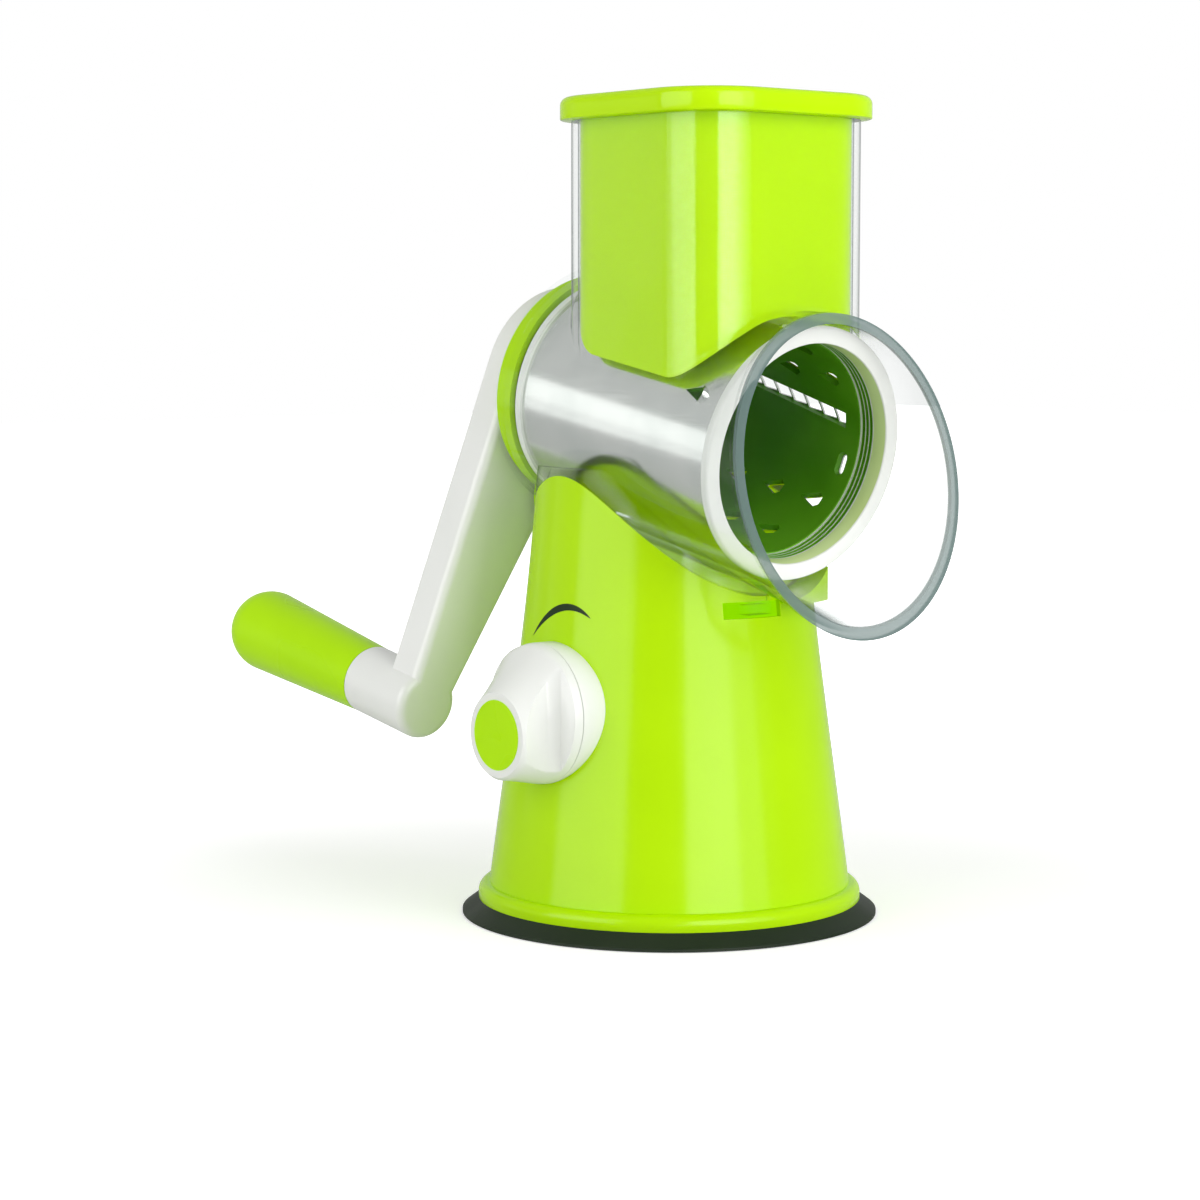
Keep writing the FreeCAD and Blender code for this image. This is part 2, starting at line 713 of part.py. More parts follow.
def drum_core():
    outer = size.sheet_radius - size.sheet_thick
    inner = outer - size.core_wall
    end = size.sheet_back
    tube = cut("liner_tube", cylinder("liner_outer", outer, size.neck_back, end),
               cylinder("liner_inner", inner, -60, 40))
    bosses = []
    pilots = []
    for index, (x, y) in enumerate(drum_screw_places()):
        bosses.append(cylinder("core_boss_%d" % index, size.core_boss_radius, end - 8, end, x, y))
        pilots.append(cylinder("core_pilot_%d" % index, size.screw_radius, end - 8, end + 1, x, y))
    bosses = common("core_bosses", group("core_boss_group", bosses),
                    cylinder("core_boss_limit", outer - 0.3, end - 10, end))
    windows = shape_feature("liner_windows", drum_windows(inner.value - 3, 0.4, True))
    core = cut("liner_cut", fuse("liner_solid", tube, bosses), windows, *pilots)
    keep(on_drum_axis(core), "drum_core")


def drum_back():
    end = size.drum_end
    bore = size.bush_radius
    front = size.sheet_back
    back = revolved("back", [
        (bore, end - size.hub_length), (13.8, end - size.hub_length), (13.8, front),
        (35.7, front), (35.7, end - 0.6), (35.1, end), (bore, end)])
    holes = [cylinder("back_hole_%d" % index, size.screw_way, 25, 40, x, y)
             for index, (x, y) in enumerate(drum_screw_places())]
    keep(on_drum_axis(cut("back_drilled", back, *holes)), "drum_back")


def drum_screws():
    screws = []
    end = size.drum_end
    for index, (x, y) in enumerate(drum_screw_places()):
        head = cylinder("drum_screw_head_%d" % index, size.drum_head_radius, end,
                        end + size.drum_head_height, x, y)
        shank = cylinder("drum_screw_shank_%d" % index, size.screw_radius, end - 10, end + 0.5, x, y)
        screws.append(fuse("drum_screw_%d" % index, head, shank))
    keep(on_drum_axis(group("drum_screw_group", screws)), "drum_screws")


def drive_socket():
    half = size.drive_half + 0.1
    end = size.drum_end
    socket = cut("socket", cylinder("socket_round", size.bush_radius, end - size.hub_length, end),
                 box("socket_square", (-half, -half, 10), (half, half, 40)))
    keep(on_drum_axis(socket), "drive_socket")


def drive_shaft():
    half = size.drive_half
    square = box("drive_square", (-half, -half, size.drum_end - 10),
                 (half, half, size.drum_end + 2))
    rod = cylinder("drive_round", size.drive_radius, size.drum_end + 1, size.arm_back - 4)
    tapped = cylinder("drive_tapped", 2, 40, 60)
    keep(on_drum_axis(cut("drive", fuse("drive_solid", square, rod), tapped)), "drive_shaft")


def crank_arm():
    hub = size.hub_radius.value
    end_half = size.arm_end_half.value
    reach = math.hypot(size.grip_x.value, size.grip_drop.value)
    lean = math.atan2(-size.grip_x.value, size.grip_drop.value)
    grip = Vector(size.grip_x.value, size.grip_drop.value, 0)
    # each side runs from its own distance at the hub to the arm's half width at the grip
    left = lean - math.asin((hub - end_half) / reach)
    outward = Vector(-math.cos(left), -math.sin(left), 0)
    right = lean + math.asin((size.arm_inset.value - end_half) / reach)
    inward = Vector(math.cos(right), math.sin(right), 0)
    spots = [outward * hub, grip + outward * end_half, grip + inward * end_half,
             inward * size.arm_inset.value]
    arm = padded("arm", "XY_Plane", [(spot.x, spot.y) for spot in spots],
                 size.arm_front, size.arm_back)
    add_round_pad(arm, "arm_hub", size.hub_radius, 0, 0, size.arm_front, size.arm_back)
    add_round_pad(arm, "arm_boss", size.grip_neck, size.grip_x, size.grip_drop,
                  size.arm_front, size.boss_back)

    def beside_hub(edge):
        # the upright edge where the right side runs into the hub
        point = edge.Vertexes[0].Point
        return is_upright(edge) and point.x > -5 and 15 < point.y < 60

    round_edges(arm, "arm_hub_blend", 14, beside_hub)
    round_edges(arm, "arm_front_edge", 3, lies_at(size.arm_front.value))
    tools = [
        cylinder("crank_shaft_bore", size.drive_radius, 40, size.arm_back - 4),
        cylinder("crank_screw_seat", 5, size.arm_back - 4, 60),
        cylinder("crank_cap_seat", 15, size.arm_back - 2, 60),
        cylinder("crank_axle_bore", size.axle_radius, size.arm_front + 4, 90,
                 size.grip_x, size.grip_drop)]
    keep(on_drum_axis(cut("crank", arm, *tools)), "crank_arm")


def crank_screw():
    seat = size.arm_back - 4
    head = cylinder("crank_screw_head", 4.6, seat, seat + 1.9)
    shank = cylinder("crank_screw_shank", 2, 42, seat + 1)
    keep(on_drum_axis(fuse("crank_screw_solid", head, shank)), "crank_screw")


def hub_cap():
    back = size.arm_back
    cover = revolved("hub_cover", [(0, back - 2), (15, back - 2), (15, back),
                                   (13, back + 0.8), (0, back + 1.4)])
    keep(on_drum_axis(cover), "hub_cap")


def grip_axle():
    keep(drum_cylinder("axle", size.axle_radius, size.arm_front + 4, 138,
                       size.grip_x, size.grip_drop), "grip_axle")


def grip_washer():
    ring = drum_cylinder("washer_outer", 6, 133, 134, size.grip_x, size.grip_drop)
    bore = drum_cylinder("washer_inner", size.axle_radius, 130, 140, size.grip_x, size.grip_drop)
    keep(cut("washer", ring, bore), "grip_washer")


def grip():
    bore = size.axle_radius + size.running_gap
    front = size.boss_back + size.gap
    dome = size.grip_swell
    handle = revolved("handle", [
        (bore, front), (size.grip_neck, front), (dome, size.grip_back - dome, -size.quarter_bow),
        (0, size.grip_back), (0, 138.5), (6.4, 138.5), (6.4, 132.5), (bore, 132.5)])
    keep(on_drum_axis(handle, 0, size.grip_x, size.grip_drop), "grip")


def on_mouth_plane(thing, inwards):
    # local Z leaves the mouth squarely, or runs back into it
    tilt = size.drum_tilt
    if inwards:
        turn(thing, Vector(-1, 0, 0), 90 + size.mouth_slant - tilt)
    else:
        turn(thing, Vector(1, 0, 0), 90 - size.mouth_slant + tilt)
    return place(thing, 0, size.mouth_reach * cosine(tilt),
                 size.axis_height + size.mouth_reach * sine(tilt))


def barrel_form(name, inset, rear):
    # flared barrel outline, moved inwards by inset
    return on_drum_axis(revolved(name, [
        (0, size.mouth_tip), (size.flare_radius - inset, size.mouth_tip, size.flare_bow),
        (size.barrel_front_radius - inset, size.barrel_front),
        (size.barrel_back_radius - inset, size.sheet_back),
        (size.barrel_back_radius - inset, rear), (0, rear)]))


# lower end of the hopper's tube inside the barrel, highest point of the seam between the two,
# and the radius of the blend along it
hopper_foot = 155.0
seam_top = 205.0
hopper_blend = 3.5


def joins_hopper(edge):
    # the curved edges where the hopper's walls run into the barrel
    around = edge.BoundBox
    straight = isinstance(edge.Curve, Part.Line)
    return around.ZMin > hopper_foot and around.ZMax < seam_top and not straight


def drum_housing():
    wall = size.barrel_wall
    barrel = barrel_form("barrel_outer", 0, size.barrel_back)
    bead = drum_cylinder("barrel_bead", size.barrel_back_radius + 0.6, size.barrel_back - 3.8,
                         size.barrel_back)
    rim = common("mouth_rim", barrel_form("rim_form", -0.9, 40),
                 on_mouth_plane(cylinder("rim_slab", 90, 0, size.rim_length), True))
    tube = rounded_square("hopper_outer", size.hopper_half, size.hopper_corner, hopper_foot,
                          size.hopper_top)
    form = blended("housing_form", fuse("housing_outer", barrel, tube), hopper_blend, joins_hopper)

    skirt_ring = cut("skirt_ring", drum_cylinder("skirt_outer", size.trough_radius - size.gap,
                                                 -70, 36),
                     drum_cylinder("skirt_inner", 40, -80, 50))
    skirt_form = cut("skirt_form", tower_form("skirt_limit", 0), tower_form("skirt_hollow", 3))
    skirt = common("skirt", skirt_ring, skirt_form)

    left = size.latch_x - size.latch_half
    right = size.latch_x + size.latch_half
    low = size.window_bottom + 1.2
    tab = box("latch_tab", (left, -46.9, low), (right, -44.9, 107.4))
    barb = box("latch_barb", (left, -45.5, low), (right, -42.4, low + 3))

    solid = fuse("housing_solid", form, bead, rim, skirt, tab, barb)
    hollow = rounded_square("hopper_inner", size.hopper_half - size.hopper_wall,
                            size.hopper_corner - size.hopper_wall, hopper_foot, 260)
    beyond = on_mouth_plane(cylinder("beyond_mouth", 90, 0, 60), False)
    keep(cut("housing", solid, barrel_form("barrel_inner", wall, 50), hollow, beyond),
         "drum_housing")


def pusher_body():
    half = size.pusher_half
    corner = size.pusher_corner
    wall = size.pusher_wall
    block = rounded_square("pusher_outer", half, corner, 150, size.cap_bottom)
    hollow = cut("pusher_hollow", rounded_square("pusher_inner", half - wall, corner - wall, 150, 260),
                 drum_cylinder("pusher_floor", size.pusher_under + wall, -120, 80))
    under = drum_cylinder("pusher_contour", size.pusher_under, -120, 80)
    keep(cut("pusher", block, hollow, under), "pusher_body")


def pusher_cap():
    plate = rounded_square("cap_plate", size.cap_half, size.cap_corner, size.cap_bottom,
                           size.cap_top)
    round_edges(plate, "cap_top_edge", 2.5, lies_at(size.cap_top.value))
    inset = size.pusher_wall + 0.1
    plug = rounded_square("cap_plug", size.pusher_half - inset, size.pusher_corner - inset,
                          size.cap_bottom - 4.8, size.cap_bottom + 1)
    keep(fuse("cap", plate, plug), "pusher_cap")


suction_pad()
base_plate()
base_screws()
tower()
shaft_bush()
knob_bezel()
cam_shaft()
shaft_clip()
cam()
pull_rod()
pad_stud()
rod_pin()
knob()
knob_inset()
knob_screw()
drum_ring()
drum_blade()
drum_core()
drum_back()
drum_screws()
drive_socket()
drive_shaft()
crank_arm()
crank_screw()
hub_cap()
grip_axle()
grip_washer()
grip()
drum_housing()
pusher_body()
pusher_cap()

doc.recompute()
os.makedirs("parts", exist_ok=True)
broken = []
for thing in doc.Objects:
    if "Invalid" in thing.State or "Error" in thing.State:
        broken.append(thing.Name)
for piece in pieces:
    if piece.Shape.isNull() or not piece.Shape.isValid():
        broken.append(piece.Label)
if broken:
    raise RuntimeError("not built: " + ", ".join(broken))
for piece in pieces:
    piece.Shape.exportStep("parts/%s.step" % piece.Label)
    print(piece.Label, len(piece.Shape.Solids), round(piece.Shape.Volume))
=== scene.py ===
# Looks of the hand cranked vegetable cutter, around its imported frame.
import bpy
import bmesh
import math
from mathutils import Matrix, Vector
from mathutils.bvhtree import BVHTree


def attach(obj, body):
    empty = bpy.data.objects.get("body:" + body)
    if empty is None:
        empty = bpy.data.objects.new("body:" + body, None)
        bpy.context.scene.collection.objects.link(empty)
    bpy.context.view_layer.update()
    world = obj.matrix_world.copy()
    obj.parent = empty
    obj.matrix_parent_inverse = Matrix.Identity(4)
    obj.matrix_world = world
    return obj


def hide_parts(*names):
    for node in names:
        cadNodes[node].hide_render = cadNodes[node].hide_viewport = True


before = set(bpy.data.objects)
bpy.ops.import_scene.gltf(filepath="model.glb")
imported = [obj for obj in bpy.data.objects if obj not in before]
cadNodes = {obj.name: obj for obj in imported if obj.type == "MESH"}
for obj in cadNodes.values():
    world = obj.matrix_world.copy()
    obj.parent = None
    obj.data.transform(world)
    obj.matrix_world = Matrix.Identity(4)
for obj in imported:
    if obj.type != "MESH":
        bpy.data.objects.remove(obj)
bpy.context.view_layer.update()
print("frame loaded:", len(cadNodes), "nodes")

drumLine = {"tilt": 10.5, "height": 0.1564}  # degrees, metres
drumTilt = math.radians(drumLine["tilt"])


# Shader and geometry trees

class Wire:
    # a node's output, so that values can be written as sums and products
    def __init__(self, net, socket):
        self.net = net
        self.socket = socket

    def join(self, operation, *others):
        return self.net.add("ShaderNodeMath", {"operation": operation}, [self, *others])

    def __add__(self, other):
        return self.join("ADD", other)

    def __sub__(self, other):
        return self.join("SUBTRACT", other)

    def __rsub__(self, other):
        return self.net.add("ShaderNodeMath", {"operation": "SUBTRACT"}, [other, self])

    def __mul__(self, other):
        return self.join("MULTIPLY", other)

    def __pow__(self, other):
        return self.join("POWER", other)

    __radd__ = __add__
    __rmul__ = __mul__

    def between(self, low, high, fromValue=0.0, toValue=1.0):
        values = {"Value": self, "From Min": low, "From Max": high, "To Min": fromValue, "To Max": toValue}
        return self.net.add("ShaderNodeMapRange", {"interpolation_type": "SMOOTHSTEP"}, values)


class Net:
    # a node tree that is filled by one method
    def __init__(self, tree):
        self.tree = tree

    def add(self, kind, settings=None, values=None, output=0):
        node = self.tree.nodes.new(kind)
        for name, setting in (settings or {}).items():
            setattr(node, name, setting)
        pairs = values.items() if isinstance(values, dict) else enumerate(values or [])
        for name, value in pairs:
            self.feed(node.inputs[name], value)
        return Wire(self, node.outputs[output]) if len(node.outputs) else node

    def feed(self, socket, value):
        if isinstance(value, Wire):
            self.tree.links.new(value.socket, socket)
        elif value is not None:
            socket.default_value = value

    def blend(self, factor, first, second):
        settings = {"data_type": "RGBA"}
        return self.add("ShaderNodeMix", settings, {0: factor, 6: first, 7: second}, output=2)

    def vector(self, operation, *values):
        result = "Value" if operation in ("LENGTH", "DOT_PRODUCT") else "Vector"
        return self.add("ShaderNodeVectorMath", {"operation": operation}, values, output=result)

    def mix(self, factor, first, second):
        return self.add("ShaderNodeMixShader", {}, [factor, first, second])

    def noise(self, place, scale, detail=2.0, roughness=0.5):
        values = {"Vector": place, "Scale": scale, "Detail": detail, "Roughness": roughness}
        return self.add("ShaderNodeTexNoise", {}, values)

    def bump(self, height, distance):
        return self.add("ShaderNodeBump", {}, {"Strength": 1.0, "Distance": distance, "Height": height})


def rgb(colour):
    return (*colour, 1.0)


def newMaterial(name):
    made = bpy.data.materials.new(name)
    made.use_nodes = True
    made.node_tree.nodes.clear()
    net = Net(made.node_tree)
    place = net.add("ShaderNodeTexCoord", output="Object")
    return made, net, place


def closeMaterial(net, shader):
    net.add("ShaderNodeOutputMaterial", {}, {"Surface": shader})


def closePrincipled(net, values):
    closeMaterial(net, net.add("ShaderNodeBsdfPrincipled", {}, values))


def drumPlace(net, place, stretch):
    # coordinates whose Z runs along the drum's axis, stretched for rings or streaks
    moved = net.add("ShaderNodeMapping", {"vector_type": "POINT"}, {
        "Vector": place, "Location": (0, 0, -drumLine["height"])})
    turned = net.add("ShaderNodeMapping", {}, {
        "Vector": moved, "Rotation": (math.radians(90) - drumTilt, 0, 0), "Scale": stretch})
    return turned


# Materials

# two shades of each plastic, its roughness, its grain's scale and depth in metres, and its specular level
plasticPlans = {
    # the tower's "inside" colour is a painted glow on its inner faces, which stands in for light inside the
    # hollow
    "limeTower": {"dark": (0.430, 0.745, 0.0), "light": (0.446, 0.765, 0.0), "rough": (0.13, 0.19),
                  "grain": 1400, "depth": 0.000012, "level": 0.10, "inside": (0.42, 0.70, 0.0)},
    "limeBody": {"dark": (0.430, 0.745, 0.0), "light": (0.446, 0.765, 0.0), "rough": (0.13, 0.20),
                 "grain": 1400, "depth": 0.000012, "level": 0.10},
    "limePusher": {"dark": (0.480, 0.790, 0.0), "light": (0.496, 0.810, 0.0), "rough": (0.09, 0.14),
                   "grain": 1400, "depth": 0.00001, "level": 0.12},
    "limeGrip": {"dark": (0.430, 0.790, 0.0), "light": (0.455, 0.820, 0.0), "rough": (0.24, 0.32),
                 "grain": 2200, "depth": 0.00002, "level": 0.10},
    "whiteGloss": {"dark": (0.80, 0.815, 0.78), "light": (0.825, 0.835, 0.805), "rough": (0.16, 0.24),
                   "grain": 1600, "depth": 0.00001, "level": 0.16},
    # the ring's bore is white plastic painted pale green here: painted light from the green liner
    "boreLinerLight": {"dark": (0.60, 0.74, 0.30), "light": (0.68, 0.82, 0.40), "rough": (0.16, 0.24),
                 "grain": 1600, "depth": 0.00001, "level": 0.16},
    "drumGreen": {"dark": (0.070, 0.28, 0.002), "light": (0.12, 0.37, 0.010), "rough": (0.28, 0.36),
                  "grain": 1500, "depth": 0.00002, "level": 0.30},
    "nylon": {"dark": (0.62, 0.62, 0.57), "light": (0.72, 0.72, 0.68), "rough": (0.42, 0.55),
              "grain": 2600, "depth": 0.00002, "level": 0.5},
}
# what all plastics share: the scales of their clouds and flow lines, and the weights of grain and flow
mouldPlan = {"cloud": 28, "flow": 60, "grainShare": 0.5, "flowShare": 2.0}
# the tower's hollow, whose inner faces get a painted glow standing in for light inside it: its radius at the
# ground and its taper, how far from the drum's axis its ceiling lies, where it starts, how strongly the
# painted glow shines, what share of that its trough gets, and how soft each border is
hollowGlowPlan = {"radius": 0.0548, "taper": 0.118, "ceiling": 0.0466, "low": 0.012, "glow": 0.4,
              "trough": 0.85, "wallBorder": 0.0002, "ceilingBorder": 0.0005, "lowBorder": 0.001}


def paintedGlowShare(net, place):
    # one on the tower's inner faces, where a painted glow stands in for the light inside the hollow, and none
    # outside
    plan = hollowGlowPlan
    fromMiddle = net.vector("LENGTH", net.vector("MULTIPLY", place, (1, 1, 0)))
    height = net.vector("DOT_PRODUCT", place, (0, 0, 1))
    fromDrum = net.vector("LENGTH", net.vector("MULTIPLY", drumPlace(net, place, (1, 1, 1)), (1, 1, 0)))
    wall, ceiling = plan["wallBorder"], plan["ceilingBorder"]
    upright = fromMiddle + height * plan["taper"]
    within = upright.between(plan["radius"] - wall, plan["radius"] + wall, 1, 0)
    below = fromDrum.between(plan["ceiling"] - ceiling, plan["ceiling"] + ceiling, plan["trough"], 1)
    return within * below * height.between(plan["low"] - plan["lowBorder"], plan["low"])


def mouldedPlastic(name):
    plan = plasticPlans[name]
    made, net, place = newMaterial(name)
    cloud = net.noise(place, mouldPlan["cloud"], 2)
    grain = net.noise(place, plan["grain"], 3, 0.6)
    flow = net.noise(place, mouldPlan["flow"], 1)
    relief = grain * mouldPlan["grainShare"] + flow * mouldPlan["flowShare"]
    values = {"Base Color": net.blend(cloud.between(0.3, 0.7), rgb(plan["dark"]), rgb(plan["light"])),
              "Roughness": cloud.between(0.25, 0.75, *plan["rough"]),
              "Specular IOR Level": plan["level"], "Normal": net.bump(relief, plan["depth"])}
    # the tower's inner faces get a painted glow in the "inside" colour, which stands in for light inside the
    # hollow
    if "inside" in plan:
        values["Emission Color"] = net.blend(paintedGlowShare(net, place), rgb((0, 0, 0)), rgb(plan["inside"]))
        values["Emission Strength"] = hollowGlowPlan["glow"]
    closePrincipled(net, values)
    return made


# drawn sheet with fine rings round the drum; they are the noise of "scale", pressed together along the axis
sheetPlan = {"dark": (0.66, 0.68, 0.66), "light": (0.74, 0.75, 0.73), "rough": (0.14, 0.22), "scale": 60,
             "stretch": (1, 1, 40), "cloud": 40, "depth": 0.000004}


def sheetSteel():
    plan = sheetPlan
    made, net, place = newMaterial("sheetSteel")
    rings = net.noise(drumPlace(net, place, plan["stretch"]), plan["scale"], 3, 0.6)
    cloud = net.noise(place, plan["cloud"], 2)
    closePrincipled(net, {
        "Base Color": net.blend(cloud.between(0.3, 0.7), rgb(plan["dark"]), rgb(plan["light"])),
        "Metallic": 1.0, "Roughness": rings.between(0.3, 0.7, *plan["rough"]),
        "Normal": net.bump(rings, plan["depth"])})
    return made


turnedPlan = {"dark": (0.40, 0.40, 0.40), "light": (0.56, 0.56, 0.55), "rough": (0.25, 0.38), "grain": 1800,
              "depth": 0.000008}


def turnedSteel():
    plan = turnedPlan
    made, net, place = newMaterial("turnedSteel")
    grain = net.noise(place, plan["grain"], 2)
    closePrincipled(net, {
        "Base Color": net.blend(grain, rgb(plan["dark"]), rgb(plan["light"])), "Metallic": 1.0,
        "Roughness": grain.between(0.3, 0.7, *plan["rough"]), "Normal": net.bump(grain, plan["depth"])})
    return made


rubberPlan = {"dark": (0.006, 0.015, 0.004), "light": (0.011, 0.021, 0.008), "rough": (0.46, 0.6),
              "grain": 1300, "dust": 45, "depth": 0.00003, "level": 0.2}


def blackRubber():
    plan = rubberPlan
    made, net, place = newMaterial("blackRubber")
    grain = net.noise(place, plan["grain"], 4, 0.7)
    dust = net.noise(place, plan["dust"], 3)
    closePrincipled(net, {
        "Base Color": net.blend(dust.between(0.45, 0.8), rgb(plan["dark"]), rgb(plan["light"])),
        "Roughness": dust.between(0.3, 0.8, *plan["rough"]), "Specular IOR Level": plan["level"],
        "Normal": net.bump(grain, plan["depth"])})
    return made


# light that passes walls seen squarely, seen along their length, and in the flare before the mouth;
# "bend" and "flareFrom" say where these turn into each other, and the rim at the mouth gets a dull grey band
# of painted shade, which stands in for the dark look of the thick clear rim
clearPlan = {"flat": (0.978, 0.986, 0.982), "edge": (0.20, 0.27, 0.25), "bend": (0.70, 0.99),
             "flare": (0.935, 0.943, 0.940), "flareFrom": (-0.070, -0.058), "shine": 0.8, "face": 0.007,
             "rough": 0.05, "rim": (0.15, 0.215, 0.205), "rimCover": 0.8, "rimLength": 0.0013,
             "rimBorder": 0.0004}
mouthPlan = {"reach": -0.081, "slant": 20.6}  # where its plane cuts the drum's axis, and its lean in degrees


def mouthPoint():
    # a point of the mouth's plane, and the direction that leaves the mouth squarely
    along = mouthPlan["reach"]
    lean = math.radians(mouthPlan["slant"]) - drumTilt
    point = Vector((0, along * math.cos(drumTilt), drumLine["height"] + along * math.sin(drumTilt)))
    return point, Vector((0, -math.cos(lean), math.sin(lean)))


def clearPlastic():
    # thin clear walls: light passes straight through and darkens where a wall is seen along its length
    plan = clearPlan
    made, net, place = newMaterial("clearPlastic")
    slope = net.add("ShaderNodeLayerWeight", {}, {"Blend": 0.5}, output="Facing")
    along = net.vector("DOT_PRODUCT", drumPlace(net, place, (1, 1, 1)), (0, 0, 1))
    flare, flat, edge = [net.add("ShaderNodeBsdfTransparent", {}, {"Color": rgb(plan[part])})
                         for part in ("flare", "flat", "edge")]
    wall = net.mix(along.between(*plan["flareFrom"]), flare, flat)
    through = net.mix(slope.between(*plan["bend"]), wall, edge)
    point, outward = mouthPoint()
    depth = net.vector("DOT_PRODUCT", place, outward) - (point.dot(outward) - plan["rimLength"])
    # the rim at the mouth gets a dull grey band of painted shade, which stands in for the dark look of the
    # thick clear rim
    rim = depth.between(-plan["rimBorder"], plan["rimBorder"], 0, plan["rimCover"])
    rimShadeBand = net.add("ShaderNodeBsdfDiffuse", {}, {"Color": rgb(plan["rim"])})
    gloss = net.add("ShaderNodeBsdfGlossy", {}, {"Color": (1, 1, 1, 1), "Roughness": plan["rough"]})
    skin = slope ** 5 * plan["shine"] + plan["face"]
    closeMaterial(net, net.mix(skin, net.mix(rim, through, rimShadeBand), gloss))
    return made


inkPlan = {"dark": (0.008, 0.022, 0.004), "light": (0.014, 0.034, 0.008), "rough": (0.35, 0.45),
           "grain": 2500, "level": 0.08}


def printInk():
    plan = inkPlan
    made, net, place = newMaterial("printInk")
    grain = net.noise(place, plan["grain"], 2)
    closePrincipled(net, {
        "Base Color": net.blend(grain, rgb(plan["dark"]), rgb(plan["light"])),
        "Roughness": grain.between(0.3, 0.7, *plan["rough"]), "Specular IOR Level": plan["level"]})
    return made


finishes = {name: mouldedPlastic(name) for name in plasticPlans}
finishes.update({"sheetSteel": sheetSteel(), "turnedSteel": turnedSteel(), "blackRubber": blackRubber(),
                 "clearPlastic": clearPlastic(), "printInk": printInk()})
print("materials made:", len(finishes))

nodeFinishes = {
    "limeTower": ["tower"],
    "limeBody": ["base_plate"],
    "limePusher": ["pusher_body", "pusher_cap"],
    "limeGrip": ["grip", "knob_inset"],
    "whiteGloss": ["knob", "knob_bezel", "drum_ring", "drum_back", "crank_arm", "hub_cap"],
    "drumGreen": ["drum_core"],
    "nylon": ["shaft_bush", "cam", "pull_rod"],
    "sheetSteel": ["drum_blade"],
    "turnedSteel": ["base_screws", "knob_screw", "cam_shaft", "shaft_clip", "pad_stud", "rod_pin",
                    "drum_screws", "drive_socket", "drive_shaft", "crank_screw", "grip_axle", "grip_washer"],
    "blackRubber": ["suction_pad"],
    "clearPlastic": ["drum_housing"],
}


def paintNode(name, finish):
    mesh = cadNodes[name].data
    mesh.materials.clear()
    mesh.materials.append(finishes[finish])


for finish, names in nodeFinishes.items():
    for name in names:
        paintNode(name, finish)
print("nodes painted")


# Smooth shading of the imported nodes

shadePlan = {"Merge Distance": 0.00001, "Edge Angle": math.radians(28)}


def newGeometryTree(name, sockets):
    tree = bpy.data.node_groups.new(name, "GeometryNodeTree")
    tree.interface.new_socket("Geometry", in_out="INPUT", socket_type="NodeSocketGeometry")
    for label, kind, value in sockets:
        socket = tree.interface.new_socket(label, in_out="INPUT", socket_type=kind)
        if value is not None:
            socket.default_value = value
    tree.interface.new_socket("Geometry", in_out="OUTPUT", socket_type="NodeSocketGeometry")
    net = Net(tree)
    start = tree.nodes.new("NodeGroupInput")
    return tree, net, {socket.name: Wire(net, socket) for socket in start.outputs if socket.name}


def addTree(piece, tree, values):
    modifier = piece.modifiers.new(tree.name, "NODES")
    modifier.node_group = tree
    for socket in tree.interface.items_tree:
        if socket.in_out == "INPUT" and socket.name in values:
            modifier[socket.identifier] = values[socket.name]
    return modifier


def shadeTree():
    tree, net, given = newGeometryTree("softShade", [
        ("Merge Distance", "NodeSocketFloat", 0.00001), ("Edge Angle", "NodeSocketFloat", 0.5)])
    joined = net.add("GeometryNodeMergeByDistance", {}, {
        "Geometry": given["Geometry"], "Distance": given["Merge Distance"]})
    smooth = net.add("GeometryNodeSetShadeSmooth", {"domain": "FACE"}, {
        "Geometry": joined, "Shade Smooth": True})
    angle = net.add("GeometryNodeInputMeshEdgeAngle", output="Unsigned Angle")
    sharp = net.add("FunctionNodeCompare", {"operation": "GREATER_THAN"}, [angle, given["Edge Angle"]])
    crisp = net.add("GeometryNodeSetShadeSmooth", {"domain": "EDGE"}, {
        "Geometry": smooth, "Selection": sharp, "Shade Smooth": False})
    net.add("NodeGroupOutput", {}, {"Geometry": crisp})
    return tree


softShade = shadeTree()
for node in cadNodes.values():
    addTree(node, softShade, shadePlan)
print("nodes shaded")


# Soft edges of the moulded pieces

# width in metres and angles in degrees: of one plane's facets, of a rounded edge and of a crease that stays
edgePlan = {"names": ["knob", "knob_bezel", "pusher_cap", "base_plate"], "width": 0.00035, "segments": 2,
            "flat": 0.5, "angle": 35, "crease": 50}


def softenEdges(node):
    # facets of one plane are joined first, so that the rounding only meets real edges
    node.modifiers.remove(node.modifiers[-1])
    addTree(node, softShade, {**shadePlan, "Edge Angle": math.pi})
    planes = node.modifiers.new("planes", "DECIMATE")
    planes.decimate_type = "DISSOLVE"
    planes.angle_limit = math.radians(edgePlan["flat"])
    rounding = node.modifiers.new("rounding", "BEVEL")
    rounding.width = edgePlan["width"]
    rounding.segments = edgePlan["segments"]
    rounding.limit_method = "ANGLE"
    rounding.angle_limit = math.radians(edgePlan["angle"])
    addTree(node, softShade, {**shadePlan, "Edge Angle": math.radians(edgePlan["crease"])})


for name in edgePlan["names"]:
    softenEdges(cadNodes[name])
print("edges softened:", len(edgePlan["names"]))


# Pieces made here

def newObject(name, data):
    made = bpy.data.objects.new(name, data)
    bpy.context.scene.collection.objects.link(made)
    return made


def newPiece(name, points, faces, finishNames=()):
    mesh = bpy.data.meshes.new(name)
    mesh.from_pydata(points, [], faces)
    for finish in finishNames:
        mesh.materials.append(finishes[finish])
    mesh.update()
    return newObject(name, mesh)


def turnOutwards(mesh, crease=None):
    # faces look outwards, and edges sharper than the crease stay sharp
    shape = bmesh.new()
    shape.from_mesh(mesh)
    bmesh.ops.recalc_face_normals(shape, faces=shape.faces)
    if crease:
        for edge in shape.edges:
            edge.smooth = edge.calc_face_angle(0) < math.radians(crease)
    shape.to_mesh(mesh)
    shape.free()


